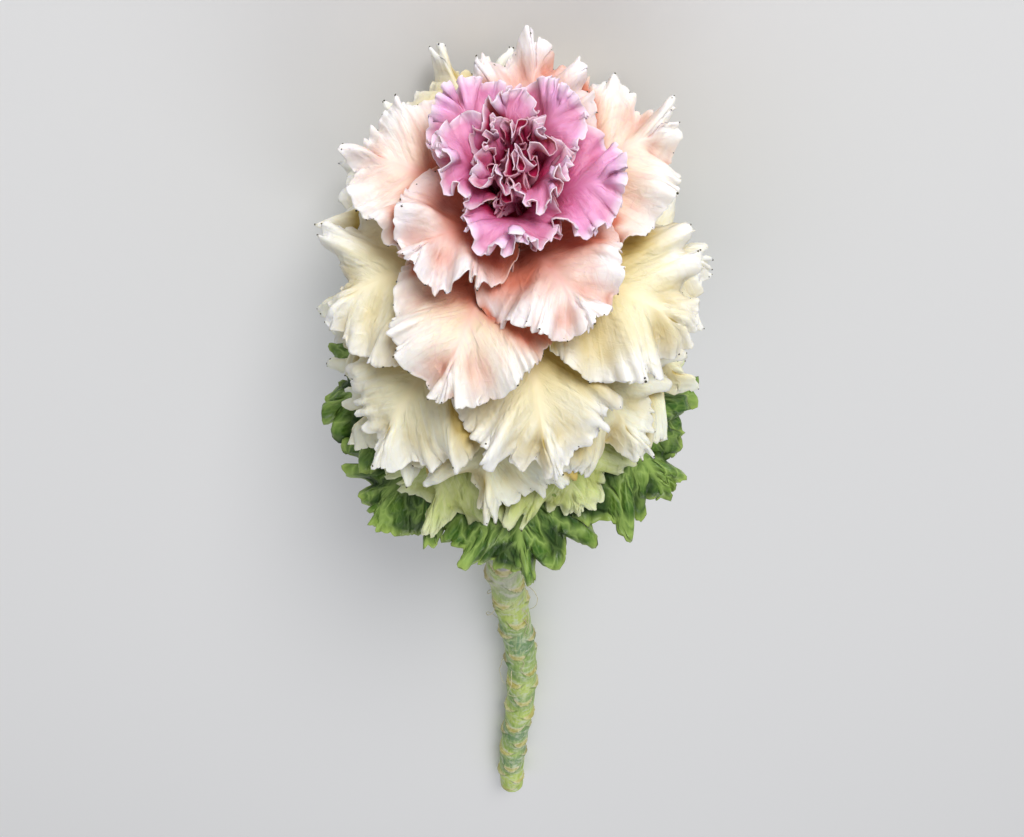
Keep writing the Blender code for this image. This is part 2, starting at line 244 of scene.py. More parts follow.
# how the waves of every leaf vary, as shares where no unit is given
ruffle = {
    # kind, slowest and fastest drift round the margin, strength of the drift, notches to a wave
    "kinds": (("lobe", 2.0, 6.0, 1.5, 0.5), ("pleat", 4.0, 14.0, 2.0, 1.0), ("tooth", 8.0, 30.0, 1.4, 1.0)),
    "start": 0.10, "full": 0.34,  # along the leaf
    "size": 0.82, "sizeSwing": 0.42, "leastSize": 0.22, "mostSize": 1.35,
    "notchReach": 0.7, "notchTurn": 0.6, "notchMiddle": 0.85,
    "rollSwing": 1.3, "rollReach": 0.0038,  # metres
    "bulges": ((9.0, 1.3), (17.0, 2.6), (29.0, 4.1)),  # round the margin, and from the midrib out
}
fan = {"atTip": 0.13, "slant": 0.60, "footEnd": 0.30, "leastRise": 0.1}  # rows leave a midrib as veins do
coarseRows = (0.0, 0.035, 0.08, 0.15, 0.25, 0.37, 0.49, 0.60)
fineRows = (0.69, 0.77, 0.84, 0.895, 0.94, 0.975, 1.0)


def leafSurface(form, frill, side, ring):
    # the middle of the blade, with what the finish reads at each place
    rng = np.random.default_rng(1000 + form["rank"])
    length = form["length"]
    across, up, far = halfOutline(length, form["width"])
    reach = np.abs(side) * far[-1]
    marginX = np.interp(reach, far, across) * np.sign(side)
    marginY = np.interp(reach, far, up)
    foot = smooth(0.0, fan["footEnd"], marginY / length)
    ribY = marginY - (fan["atTip"] * length + fan["slant"] * np.abs(marginX)) * foot
    ribY = np.maximum(ribY, fan["leastRise"] * marginY)
    span = np.hypot(marginX, marginY - ribY)
    ring = ring[:, None]
    flatX = ring * marginX
    flatY = ribY + (marginY - ribY) * ring ** head["ringSweep"]
    rise = flatY / length
    inset = (1.0 - ring) * span

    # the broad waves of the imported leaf, kept nearer to its margin
    phase = math.pi * (form["waves"] * side + head["waveOffset"])
    share, reachIn = frill["broad"]
    swell = share * form["wave"] * np.exp(-((inset / reachIn) ** 2)) * smooth(0.0, 0.5, ring)
    swell = swell * smooth(head["waveStart"], head["waveFull"], rise)
    swell = swell * (1.0 + head["waveSpread"] * np.sin(2.0 * math.pi * (side + form["unevenness"])))
    lift = swell * np.sin(phase)
    along = head["curlShare"] * swell * np.cos(phase)
    push = np.zeros_like(lift)

    # lobes, pleats and teeth ride on them
    circuit = 0.5 * (side + 1.0)
    grown = smooth(ruffle["start"], ruffle["full"], rise)
    frilled = grown * smooth(0.0, 0.4, ring)
    for name, slowest, fastest, drift, cut in ruffle["kinds"]:
        width, height, reachIn, notch = frill[name]
        count = max(3, round(2.0 * far[-1] / width))
        turn = 2.0 * math.pi * count * circuit + drift * wobble(rng, circuit, slowest, fastest)
        turn = turn + frill["lean"] * wobble(rng, circuit, 1.0, 3.0) * inset / reachIn
        size = ruffle["size"] + ruffle["sizeSwing"] * wobble(rng, circuit, slowest, fastest)
        size = np.clip(size, ruffle["leastSize"], ruffle["mostSize"]) * frilled
        height = height * size * np.exp(-((inset / reachIn) ** 1.4))
        lift = lift + height * np.sin(turn)
        along = along - frill["meander"] * height * np.sin(2.0 * turn)
        notch = notch * size * np.exp(-((inset / (ruffle["notchReach"] * reachIn)) ** 2))
        cuts = np.abs(np.sin(cut * turn + ruffle["notchTurn"])) ** 0.5
        push = push + notch * (cuts - ruffle["notchMiddle"])
    roll = frill["roll"] * (1.0 + ruffle["rollSwing"] * wobble(rng, circuit, 1.5, 5.0))
    lift = lift - roll * np.exp(-((inset / ruffle["rollReach"]) ** 2)) * frilled
    # soft bulges between the side veins
    bulges = np.zeros_like(lift)
    for folds, rows in ruffle["bulges"]:
        around = 2.0 * math.pi * folds * circuit + 2.0 * wobble(rng, circuit, 1.0, 3.0)
        outwards = 2.0 * math.pi * rows * ring + 1.5 * wobble(rng, circuit, 2.0, 6.0)
        bulges = bulges + np.sin(around) * np.cos(outwards) * ruffle["bulges"][0][0] / folds
    lift = lift + frill["quilt"] * bulges * smooth(0.05, 0.4, ring) * (1.0 - 0.7 * ring ** 3) * grown

    # out and along, seen from the midrib
    outX = marginX / np.maximum(span, 1e-6)
    outY = (marginY - ribY) / np.maximum(span, 1e-6)
    flatX = flatX + along * np.cos(math.pi * side) + push * outX
    flatY = flatY - along * np.sin(math.pi * side) + push * outY

    # bent along the midrib, then wrapped round the head's axis and pressed on the floor
    run, ribOut, ribAlong, slope = ribLine(form)
    atSlope = np.interp(flatY, run, slope)
    pastTip = np.maximum(flatY - length, 0.0)
    atOut = np.interp(flatY, run, ribOut) + pastTip * np.cos(atSlope)
    atAlong = np.interp(flatY, run, ribAlong) + pastTip * np.sin(atSlope)
    turn = form["azimuth"] + flatX / np.hypot(atOut, head["leastWrap"])
    atOut = atOut - lift * np.sin(atSlope)
    atAlong = atAlong + lift * np.cos(atSlope) - head["faceLean"] * atOut * np.sin(turn)
    around = np.cos(turn)[..., None] * headRight + np.sin(turn)[..., None] * headUp
    world = headOrigin + atOut[..., None] * around + atAlong[..., None] * headAxis
    pressed = np.logaddexp(0.0, world[..., 2] / head["floorSoftness"])
    world[..., 2] = 0.5 * head["bladeThickness"] + head["floorSoftness"] * pressed
    facts = {
        "rise": rise, "inset": inset, "crest": lift, "beside": np.abs(ring * marginX),
        "arc": side * far[-1], "depthIn": ring * span,
    }
    return world + shift, {name: np.broadcast_to(value, lift.shape) for name, value in facts.items()}


def rowQuads(low, high):
    # the faces between two rows of vertex numbers
    return np.stack((low[:-1], low[1:], high[1:], high[:-1]), 1)


def ringQuads(low, high):
    # the faces between two closed rings of vertex numbers
    return np.stack((low, np.roll(low, -1), np.roll(high, -1), high), 1)


def fanFaces(columns, coarse, fine):
    # one face of a leaf: vertex numbers by row and column, and its quads and triangles
    number = -np.ones((coarse + fine, columns + 1), int)
    every = np.arange(columns + 1)
    number[0, ::2] = np.minimum(every, columns - every)[::2] // 2  # both sides share the midrib
    count = columns // 4 + 1
    for row in range(1, coarse + fine):
        places = every[::2] if row < coarse else every
        number[row, places] = count + np.arange(len(places))
        count += len(places)
    rows = [number[row, ::2] for row in range(coarse)]
    quads = [rowQuads(low, high) for low, high in zip(rows, rows[1:])]
    quads += [rowQuads(number[row], number[row + 1]) for row in range(coarse, coarse + fine - 1)]
    # the columns double between the coarse and the fine rows
    low, high = rows[-1], number[coarse]
    left, middle, right = high[:-1:2], high[1::2], high[2::2]
    triangles = ((low[:-1], middle, left), (low[:-1], low[1:], middle), (low[1:], right, middle))
    triangles = np.concatenate([np.stack(corners, 1) for corners in triangles])
    return number, count, np.concatenate(quads), triangles


def pointNormals(points, quads, triangles):
    total = np.zeros_like(points)
    for faces in (quads[:, (0, 1, 2)], quads[:, (0, 2, 3)], triangles):
        a, b, c = (points[faces[:, k]] for k in range(3))
        normal = np.cross(b - a, c - a)
        for k in range(3):
            np.add.at(total, faces[:, k], normal)
    size = np.linalg.norm(total, axis=1, keepdims=True)
    return total / np.maximum(size, 1e-12)


# how far each place is shut in among the leaves, found with rays from a coarse copy of every leaf,
# so that the finish can paint shade there: a darker, warmer colour where other leaves cover a place
hiding = {
    "sides": 49, "rings": (0.0, 0.20, 0.40, 0.60, 0.78, 0.90, 1.0),
    "rays": 18, "reach": 0.026, "start": 0.0012,  # metres
}


def gridNormals(grid):
    normal = np.cross(np.gradient(grid, axis=0), np.gradient(grid, axis=1))
    return normal / np.maximum(np.linalg.norm(normal, axis=2, keepdims=True), 1e-12)


def occlusionShadeGrids():
    sides, rings = np.linspace(-1.0, 1.0, hiding["sides"]), np.array(hiding["rings"])
    grids = []
    for rank in range(leafCount):
        grids.append(leafSurface(leafForm(rank), frills[bands[bandOfLeaf[rank]][0]], sides, rings)[0])
    number = np.arange(len(rings) * len(sides)).reshape(len(rings), len(sides))
    quads = np.concatenate([rowQuads(low, high) for low, high in zip(number, number[1:])])
    points = np.concatenate([grid.reshape(-1, 3) for grid in grids])
    faces = np.concatenate([quads + rank * number.size for rank in range(leafCount)])
    tree = BVHTree.FromPolygons(points.tolist(), faces.tolist())
    height = 1.0 - (np.arange(hiding["rays"]) + 0.5) / hiding["rays"]
    turn = np.arange(hiding["rays"]) * goldenAngle
    flat = np.sqrt(1.0 - height ** 2)
    rays = np.stack((flat * np.cos(turn), flat * np.sin(turn), height), axis=1)

    def hiddenShare(place, up):
        # how much of what a place faces is taken by other leaves, the near ones most
        turned = up.to_track_quat("Z", "Y").to_matrix()
        start = place + hiding["start"] * up
        total = 0.0
        for ray in rays:
            hit = tree.ray_cast(start, turned @ Vector(ray), hiding["reach"])
            if hit[0] is not None:
                total += (1.0 - hit[3] / hiding["reach"]) * ray[2]
        return total / rays[:, 2].sum()

    results = []
    for grid in grids:
        spots = np.stack((grid, gridNormals(grid)), axis=2)
        results.append([np.array([
            [hiddenShare(Vector(place), Vector(facing * up)) for place, up in row] for row in spots
        ]) for facing in (1.0, -1.0)])
    return sides, rings, results


def spread(sides, rings, value, side, ring):
    # from the coarse grid to a leaf's own rows and columns
    bySide = np.stack([np.interp(side, sides, row) for row in value])
    place = np.clip(np.searchsorted(rings, ring, side="right") - 1, 0, len(rings) - 2)
    share = ((ring - rings[place]) / (rings[place + 1] - rings[place]))[:, None]
    return bySide[place] * (1.0 - share) + bySide[place + 1] * share


occlusionShadeSides, occlusionShadeRings, occlusionShadeValues = occlusionShadeGrids()
print("hidden places found")

# the midrib is a slight ridge on the face and a strong one on the back
rib = {"taper": 0.75, "end": 0.80, "width": 1.15, "softEdge": 0.0004, "inFront": 0.22, "behind": 0.95}
bladeFrom = 0.008  # the blade has its full thickness this far in from the margin


def makeLeaf(form, frill):
    # a closed blade: face, back with its midrib, and the thin rim between them
    across, up, far = halfOutline(form["length"], form["width"])
    columns = 4 * max(10, round(2.0 * far[-1] / frill["column"] / 4))
    side = np.linspace(-1.0, 1.0, columns + 1)
    ring = np.array(coarseRows + fineRows)
    world, facts = leafSurface(form, frill, side, ring)
    # the strength of the painted shade on the face and on the back
    for name, value in zip(("occlusionShade", "occlusionShadeBack"), occlusionShadeValues[form["rank"]]):
        facts[name] = spread(occlusionShadeSides, occlusionShadeRings, value, side, ring)
    number, count, quads, triangles = fanFaces(columns, len(coarseRows), len(fineRows))
    quads, triangles = quads[:, ::-1], triangles[:, ::-1]  # so the face looks towards the head's top
    used = number >= 0
    points = np.zeros((count, 3))
    points[number[used]] = world[used]
    values = {name: np.zeros(count) for name in facts}
    for name, grid in facts.items():
        values[name][number[used]] = grid[used]
    normal = pointNormals(points, quads, triangles)

    taper = (1.0 - rib["taper"] * values["rise"]) * smooth(1.0, rib["end"], values["rise"])
    ribHalf = 0.5 * head["ribShare"] * form["length"] * taper
    ribWidth = rib["width"] * ribHalf + rib["softEdge"]
    bulge = ribHalf * np.exp(-((values["beside"] / ribWidth) ** 2))
    blade = frill["margin"] + (frill["blade"] - frill["margin"]) * smooth(0.0, bladeFrom, values["inset"])
    faceSide = points + normal * (0.5 * blade + rib["inFront"] * bulge)[:, None]
    backSide = points - normal * (0.5 * blade + rib["behind"] * bulge)[:, None]

    margin, left, right = (rowQuads(edge, edge + count) for edge in (number[-1], number[:, 0], number[:, -1]))
    look = {
        "rise": np.tile(values["rise"], 2),
        "inset": np.tile(values["inset"] * 100.0, 2),  # centimetres from the margin
        "crest": np.concatenate((values["crest"], -values["crest"])) * 1000.0,  # millimetres
        "rib": np.tile(np.exp(-((values["beside"] / (ribWidth + rib["softEdge"])) ** 2)), 2),
        "back": np.repeat((0.0, 1.0), count),
        "occlusionShade": np.concatenate((values["occlusionShade"], values["occlusionShadeBack"])),
        "share": np.full(2 * count, form["share"]),
    }
    flat = np.stack((values["arc"] * 100.0 + 17.3 * form["rank"], values["depthIn"] * 100.0), 1)
    return (
        keptInside(np.concatenate((faceSide, backSide))),
        np.concatenate((quads, quads[:, ::-1] + count, margin[:, ::-1], left[:, ::-1], right)),
        np.concatenate((triangles, triangles[:, ::-1] + count)),
        look,
        np.tile(flat, (2, 1)),
        tipSpots(form, world, facts),
    )


# dark points on the tips of the frill, as the photographed leaves have
tipLook = {
    "spacing": 0.0029, "jitter": 0.45, "kept": 0.82, "inMargin": 0.70, "lowest": 0.38,
    "size": 0.00030, "spread": 0.45, "colour": (0.060, 0.052, 0.022), "roughness": 0.6, "mottle": 0.6,
}


def tipSpots(form, world, facts):
    rng = np.random.default_rng(500 + form["rank"])
    last = world.shape[1] - 1
    _, _, far = halfOutline(form["length"], form["width"])
    count = round(2.0 * far[-1] / tipLook["spacing"])
    spots = []
    for index in range(count):
        column = round((index + 0.5 + tipLook["jitter"] * rng.uniform(-1.0, 1.0)) * last / count)
        row = -1 if rng.uniform() < tipLook["inMargin"] else int(rng.integers(-4, -1))
        if rng.uniform() > tipLook["kept"] or facts["rise"][-1, column] < tipLook["lowest"]:
            continue
        nearby = np.arange(max(0, column - 4), min(last, column + 4) + 1)
        best = nearby[np.argmax(np.abs(facts["crest"][-1, nearby]))]
        spots.append(world[row, best])
    return np.array(spots).reshape(-1, 3)


# the crown is in full painted shade
crownFacts = {"rise": 0.0, "inset": 2.0, "crest": 0.0, "rib": 0.0, "back": 0.0, "occlusionShade": 1.0, "share": 0.0}


def crownPiece(low, high, sides=20, rings=8):
    # a band's length of the crown that its leaves stand on
    along = np.linspace(low, high, rings + 1)
    turn = np.linspace(0.0, 2.0 * math.pi, sides, endpoint=False)
    around = np.cos(turn)[:, None] * headRight + np.sin(turn)[:, None] * headUp
    points = [headOrigin + a * headAxis + r * around for a, r in zip(along, crownRadius(along))]
    points = np.concatenate(points + [headOrigin + along[[0, -1], None] * headAxis])
    here = np.arange(sides)
    after = np.roll(here, -1)
    quads = [ringQuads(here + row * sides, here + (row + 1) * sides) for row in range(rings)]
    last = rings * sides
    caps = (
        np.stack((after, here, np.full(sides, len(points) - 2)), 1),
        np.stack((here + last, after + last, np.full(sides, len(points) - 1)), 1),
    )
    look = {key: np.full(len(points), value) for key, value in crownFacts.items()}
    return points + shift, np.concatenate(quads), np.concatenate(caps), look, np.zeros((len(points), 2))


def meshObject(name, points, quads, triangles, look, flat, material):
    mesh = bpy.data.meshes.new(name)
    mesh.vertices.add(len(points))
    mesh.vertices.foreach_set("co", points.astype(np.float32).ravel())
    corners = np.concatenate((quads.ravel(), triangles.ravel())).astype(np.int32)
    sizes = np.concatenate((np.full(len(quads), 4), np.full(len(triangles), 3)))
    starts = np.concatenate(([0], np.cumsum(sizes)[:-1])).astype(np.int32)
    mesh.loops.add(len(corners))
    mesh.loops.foreach_set("vertex_index", corners)
    mesh.polygons.add(len(sizes))
    mesh.polygons.foreach_set("loop_start", starts)
    mesh.update(calc_edges=True)
    for key, value in look.items():
        layer = mesh.attributes.new(key, "FLOAT", "POINT")
        layer.data.foreach_set("value", value.astype(np.float32))
    uv = mesh.uv_layers.new(name="leafMap")
    uv.data.foreach_set("uv", flat[corners].astype(np.float32).ravel())
    mesh.shade_smooth()
    mesh.materials.append(material)
    thing = bpy.data.objects.new(name, mesh)
    bpy.context.scene.collection.objects.link(thing)
    return thing


def joinPieces(pieces):
    points, quads, triangles, looks, flats = zip(*pieces)
    starts = np.cumsum([0] + [len(part) for part in points])
    return (
        np.concatenate(points),
        np.concatenate([part + start for part, start in zip(quads, starts)]),
        np.concatenate([part + start for part, start in zip(triangles, starts)]),
        {key: np.concatenate([look[key] for look in looks]) for key in looks[0]},
        np.concatenate(flats),
    )


def countTriangles(thing):
    return sum(len(face.vertices) - 2 for face in thing.data.polygons)


# short makers of nodes: each finds its tree from the sockets it is given

def isSocket(value):
    return isinstance(value, bpy.types.NodeSocket)


def setInputs(node, inputs):
    # links a socket, or sets a constant
    for key, value in inputs.items():
        if isSocket(value):
            node.id_data.links.new(value, node.inputs[key])
        else:
            node.inputs[key].default_value = value


def addNode(tree, kind, inputs=None, **settings):
    node = tree.nodes.new(kind)
    for key, value in settings.items():
        setattr(node, key, value)
    setInputs(node, inputs or {})
    return node


def maths(operation, first, second):
    tree = (first if isSocket(first) else second).id_data
    return addNode(tree, "ShaderNodeMath", {0: first, 1: second}, operation=operation).outputs[0]


def plus(first, second):
    return maths("ADD", first, second)


def times(first, second):
    return maths("MULTIPLY", first, second)


def varied(value, noise, amount):
    # a value made uneven by a noise
    return plus(value, times(maths("SUBTRACT", noise, 0.5), amount))


def remap(value, low, high, toLow=0.0, toHigh=1.0, soft=False):
    ends = {"Value": value, "From Min": low, "From Max": high, "To Min": toLow, "To Max": toHigh}
    kind = "SMOOTHSTEP" if soft else "LINEAR"
    return addNode(value.id_data, "ShaderNodeMapRange", ends, interpolation_type=kind).outputs["Result"]


def colour(value):
    return (*value, 1.0)


def ramp(factor, *stops):
    node = addNode(factor.id_data, "ShaderNodeValToRGB", {"Fac": factor})
    elements = node.color_ramp.elements
    while len(elements) < len(stops):
        elements.new(0.5)
    for element, (place, value) in zip(elements, stops):
        element.position = place
        element.color = colour(value if isinstance(value, tuple) else (value, value, value))
    return node.outputs["Color"]


def mixed(factor, first, second):
    first, second = (colour(value) if isinstance(value, tuple) else value for value in (first, second))
    inputs = {0: factor, 6: first, 7: second}
    return addNode(factor.id_data, "ShaderNodeMix", inputs, data_type="RGBA").outputs[2]


def noise(place, scale, detail, distortion=0.0, result="Fac"):
    inputs = {"Vector": place, "Scale": scale, "Detail": detail, "Distortion": distortion}
    return addNode(place.id_data, "ShaderNodeTexNoise", inputs).outputs[result]


def stretched(place, scale):
    return addNode(place.id_data, "ShaderNodeMapping", {"Vector": place, "Scale": scale}).outputs["Vector"]


def cellEdges(place):
    # how far each place is from the edge of its cell
    cells = addNode(place.id_data, "ShaderNodeTexVoronoi", feature="DISTANCE_TO_EDGE")
    setInputs(cells, {"Vector": place, "Scale": 1.0})
    return cells.outputs["Distance"]


def newFinish(name):
    # a material, its shader, the place on the piece, and a reader of the piece's named facts
    material = bpy.data.materials.new(name)
    material.use_nodes = True
    tree = material.node_tree

    def fact(label):
        return addNode(tree, "ShaderNodeAttribute", attribute_name=label).outputs["Fac"]

    place = addNode(tree, "ShaderNodeTexCoord").outputs["Object"]
    return material, tree.nodes["Principled BSDF"], place, fact


# the leaves' colours from the root to the margin, and how each is laid on, with widths in centimetres, and the
# colour of painted shade that is laid in the troughs between crests and where other leaves cover a place
leafLooks = {
    "green_leaves": {
        "root": (0.30, 0.38, 0.10), "blade": (0.024, 0.078, 0.006), "outer": (0.055, 0.150, 0.010),
        "margin": (0.34, 0.46, 0.10), "vein": (0.32, 0.46, 0.11), "patch": (0.140, 0.230, 0.016),
        "back": (0.17, 0.30, 0.09), "veinStrength": 0.80, "marginWidth": 0.07, "roughness": 0.46, "glow": 0.0,
        "paintedShadeColour": (0.010, 0.036, 0.005), "coverShade": (0.10, 0.60), "valleyShade": 0.80,
        "outerReach": 0.6, "cells": (1.7, 0.95), "veinWidth": 2.0, "pucker": 0.0011, "backShown": 0.30,
    },
    "lime_leaves": {
        "root": (0.36, 0.34, 0.05), "blade": (0.50, 0.56, 0.14), "outer": (0.64, 0.71, 0.30),
        "margin": (0.80, 0.82, 0.54), "vein": (0.78, 0.80, 0.46), "patch": (0.32, 0.46, 0.08),
        "back": (0.55, 0.60, 0.28), "veinStrength": 0.40, "marginWidth": 0.12, "roughness": 0.48, "glow": 0.20,
        "paintedShadeColour": (0.26, 0.28, 0.030), "coverShade": (0.04, 0.42), "valleyShade": 0.50,
        "outerReach": 1.0, "cells": (1.6, 0.60), "veinWidth": 1.4, "pucker": 0.0008, "backShown": 0.50,
    },
    "cream_leaves": {
        "root": (0.60, 0.46, 0.17), "blade": (0.87, 0.76, 0.47), "outer": (0.93, 0.90, 0.80),
        "margin": (0.95, 0.93, 0.87), "vein": (0.90, 0.80, 0.56), "patch": (0.89, 0.84, 0.62),
        "back": (0.80, 0.70, 0.40), "veinStrength": 0.40, "marginWidth": 0.22, "roughness": 0.50, "glow": 0.30,
        "paintedShadeColour": (0.54, 0.40, 0.120), "coverShade": (0.01, 0.26), "valleyShade": 0.42,
        "outerReach": 2.2, "cells": (1.4, 0.40), "veinWidth": 1.0, "pucker": 0.0005, "backShown": 0.70,
        "low": {"blade": (0.80, 0.75, 0.38), "outer": (0.89, 0.89, 0.69), "margin": (0.92, 0.92, 0.78)},
        "lowShare": (0.34, 0.52),
    },
    "blush_leaves": {
        "root": (0.62, 0.20, 0.18), "blade": (0.90, 0.63, 0.57), "outer": (0.95, 0.87, 0.84),
        "margin": (0.96, 0.91, 0.89), "vein": (0.88, 0.58, 0.57), "patch": (0.93, 0.80, 0.71),
        "back": (0.88, 0.66, 0.56), "veinStrength": 0.40, "marginWidth": 0.22, "roughness": 0.50, "glow": 0.30,
        "paintedShadeColour": (0.58, 0.18, 0.115), "coverShade": (0.04, 0.36), "valleyShade": 0.28,
        "outerReach": 1.8, "cells": (1.5, 0.44), "veinWidth": 1.0, "pucker": 0.0004, "backShown": 0.70,
        "low": {"blade": (0.88, 0.70, 0.50), "outer": (0.93, 0.87, 0.78), "margin": (0.94, 0.92, 0.85)},
        "lowShare": (0.655, 0.71),
    },
    "heart_leaves": {
        "root": (0.46, 0.025, 0.085), "blade": (0.75, 0.220, 0.460), "outer": (0.87, 0.490, 0.730),
        "margin": (0.97, 0.82, 0.91), "vein": (0.89, 0.48, 0.74), "patch": (0.78, 0.230, 0.620),
        "back": (0.82, 0.42, 0.50), "veinStrength": 0.35, "marginWidth": 0.07, "roughness": 0.46, "glow": 0.25,
        "paintedShadeColour": (0.38, 0.012, 0.070), "coverShade": (0.12, 0.75), "valleyShade": 0.32,
        "outerReach": 0.5, "cells": (2.4, 0.70), "veinWidth": 1.0, "pucker": 0.0003, "backShown": 0.40,
    },
}


def leafFinish(name, look):
    material, shader, place, fact = newFinish(name + "Finish")
    tree = shader.id_data
    leafMap = addNode(tree, "ShaderNodeUVMap", uv_map="leafMap").outputs["UV"]
    cloud, mottle, grain = noise(place, 70.0, 3.0), noise(place, 420.0, 3.0), noise(place, 2600.0, 2.0)
    # fine pleats run the way the side veins do, between the midrib and the margin
    pleats = noise(stretched(leafMap, (5.0, 0.42, 1.0)), 1.6, 4.0, 0.3)
    tones = {key: look[key] for key in ("blade", "outer", "margin")}
    if "low" in look:
        # a band's lowest leaves lean towards the colour of the band below
        upper = remap(fact("share"), *look["lowShare"])
        tones = {key: mixed(upper, look["low"][key], tones[key]) for key in tones}

    # the root is darker than the outer blade, partly the leaf's own colour and partly painted shade for the
    # leaves above it, and the outer colour runs inwards along the pleats
    rise = plus(fact("rise"), times(cloud, 0.16))
    base = mixed(ramp(rise, (0.34, 0.0), (0.66, 1.0)), look["root"], tones["blade"])
    reach = look["outerReach"]
    outwards = remap(varied(fact("inset"), pleats, reach), reach, 0.15 * reach, soft=True)
    outwards = times(outwards, ramp(rise, (0.40, 0.0), (0.62, 1.0)))
    outwards = maths("MAXIMUM", outwards, ramp(rise, (0.70, 0.0), (1.0, 0.8)))
    base = mixed(outwards, base, tones["outer"])
    base = mixed(ramp(cloud, (0.50, 0.0), (0.68, 0.45)), base, look["patch"])
    base = mixed(ramp(pleats, (0.50, 0.0), (0.68, 0.40)), base, look["vein"])

    # veins: long cells that fan out from the midrib, then a fine net
    cells, warp = stretched(leafMap, (*look["cells"], 1.0)), noise(leafMap, 1.6, 2.0, result="Color")
    ribs = cellEdges(addNode(tree, "ShaderNodeVectorMath", {0: cells, 1: warp}).outputs[0])
    net = cellEdges(stretched(leafMap, (5.5, 3.0, 1.0)))
    width = look["veinWidth"]
    veins = ramp(ribs, (0.0, 1.0), (0.030 * width, 0.55), (0.110 * width, 0.0))
    veins = maths("MAXIMUM", veins, ramp(net, (0.0, 0.30), (0.14, 0.0)))
    veins = maths("MAXIMUM", veins, fact("rib"))
    base = mixed(times(veins, look["veinStrength"]), base, look["vein"])

    # painted shade: the troughs between the crests are darker than the crests, and the back is duller
    valleyShade = remap(varied(fact("crest"), mottle, 0.8), -0.2, -2.4)
    base = mixed(times(valleyShade, look["valleyShade"]), base, look["paintedShadeColour"])
    base = mixed(times(fact("back"), 0.55), base, look["back"])

    # the margin is palest, and where the other leaves cover a place a painted shade is laid, less of it on the
    # back
    width = look["marginWidth"]
    edge = ramp(varied(fact("inset"), mottle, 0.10), (0.0, 1.0), (width, 0.70), (min(0.98, 4.0 * width), 0.0))
    edge = times(edge, ramp(fact("rise"), (0.28, 0.0), (0.48, 0.85)))
    base = mixed(edge, base, tones["margin"])
    least, most = look["coverShade"]
    coverShade = varied(fact("occlusionShade"), cloud, 0.20)
    coverShade = ramp(coverShade, (least, 0.0), (0.5 * (least + most), 0.50), (most, 1.0))
    shown = maths("SUBTRACT", 1.0, times(fact("back"), look["backShown"]))
    base = mixed(times(coverShade, shown), base, look["paintedShadeColour"])

    # fine relief, and a blade that is puffed up between its veins, both less so beside the midrib
    fromRib = addNode(tree, "ShaderNodeSeparateXYZ", {"Vector": leafMap}).outputs["Y"]
    fromRib = remap(fromRib, 0.05, 0.50, soft=True)
    relief = plus(plus(times(veins, 0.30), times(grain, 0.14)), times(mottle, 0.35))
    relief = times(plus(relief, times(pleats, 1.30)), fromRib)
    puffed = times(remap(ribs, 0.0, 0.34, soft=True), fromRib)
    relief = plus(times(relief, 0.00035), times(puffed, look["pucker"]))  # metres
    bump = addNode(tree, "ShaderNodeBump", {"Height": relief, "Strength": 1.0, "Distance": 1.0})
    setInputs(shader, {
        "Base Color": base,
        "Roughness": remap(mottle, 0.3, 0.7, look["roughness"] - 0.06, look["roughness"] + 0.10),
        "Normal": bump.outputs["Normal"],
        "Specular IOR Level": 0.40,
        "Subsurface Weight": look["glow"],
        "Subsurface Radius": (1.0, 0.75, 0.35),
        "Subsurface Scale": 0.0025,
    })
    return material


def splitAt(rank):
    below, above = leafForm(rank - 1)["root"], leafForm(rank)["root"]
    return below + head["bandSplit"] * (above - below)


slots = {node: node.replace("leaves", "leaf") for node, _, _ in bands}
lowerCream = 9  # the cream band is two pieces, each well under the limit of triangles
madePieces = []
bandTips = {}
for band, (node, _, _) in enumerate(bands):
    ranks = [rank for rank in range(leafCount) if bandOfLeaf[rank] == band]
    low = splitAt(ranks[0]) if band > 0 else -stem["crownLength"]
    high = splitAt(ranks[-1] + 1) - stem["gap"] if band < len(bands) - 1 else stem["crownTip"]
    finish = leafFinish(node, leafLooks[node])
    parts = (("", ranks),)
    if node == "cream_leaves":
        parts = (("Lower", ranks[:lowerCream]), ("Upper", ranks[lowerCream:]))
    for ending, chosen in parts:
        made = [makeLeaf(leafForm(rank), frills[node]) for rank in chosen]
        bandTips.setdefault(node, []).extend(leaf[5] for leaf in made)
        pieces = [leaf[:5] for leaf in made]
        if chosen[0] == ranks[0]:
            pieces.append(crownPiece(low, high))
        thing = meshObject(node.replace("_leaves", "Leaves") + ending, *joinPieces(pieces), finish)
        madePieces.append((thing, node, slots[node]))
        print(thing.name, countTriangles(thing), "triangles")


# the bare stalk, with the scars of its shed leaves
stalkLook = {
    "sides": 96, "rings": 560, "endRings": (0.97, 0.86, 0.70, 0.52, 0.34, 0.16),
    "scarSpacing": 0.0072, "firstScar": 0.0050,
    "scarRise": 0.0014, "scarRiseNearHead": 0.0026, "scarFade": 3,
    "scarAbove": 0.0022, "scarBelow": 0.0052, "scarHalfAngle": 0.75,
    "scarWidth": 0.0054, "widthRange": (0.65, 1.15), "scarHeight": 0.0019, "heightRange": (0.6, 1.2),
    "scarOffset": 0.0010, "scarBend": 80.0, "bendRange": (0.5, 1.3),  # per metre, how strongly a scar curves
    "rimHeight": 0.00036, "rimWidth": 0.15, "scarDepth": 0.00030,
    "creaseAt": 1.42, "creaseWidth": 0.22, "ridgeHeight": 0.00006,
}


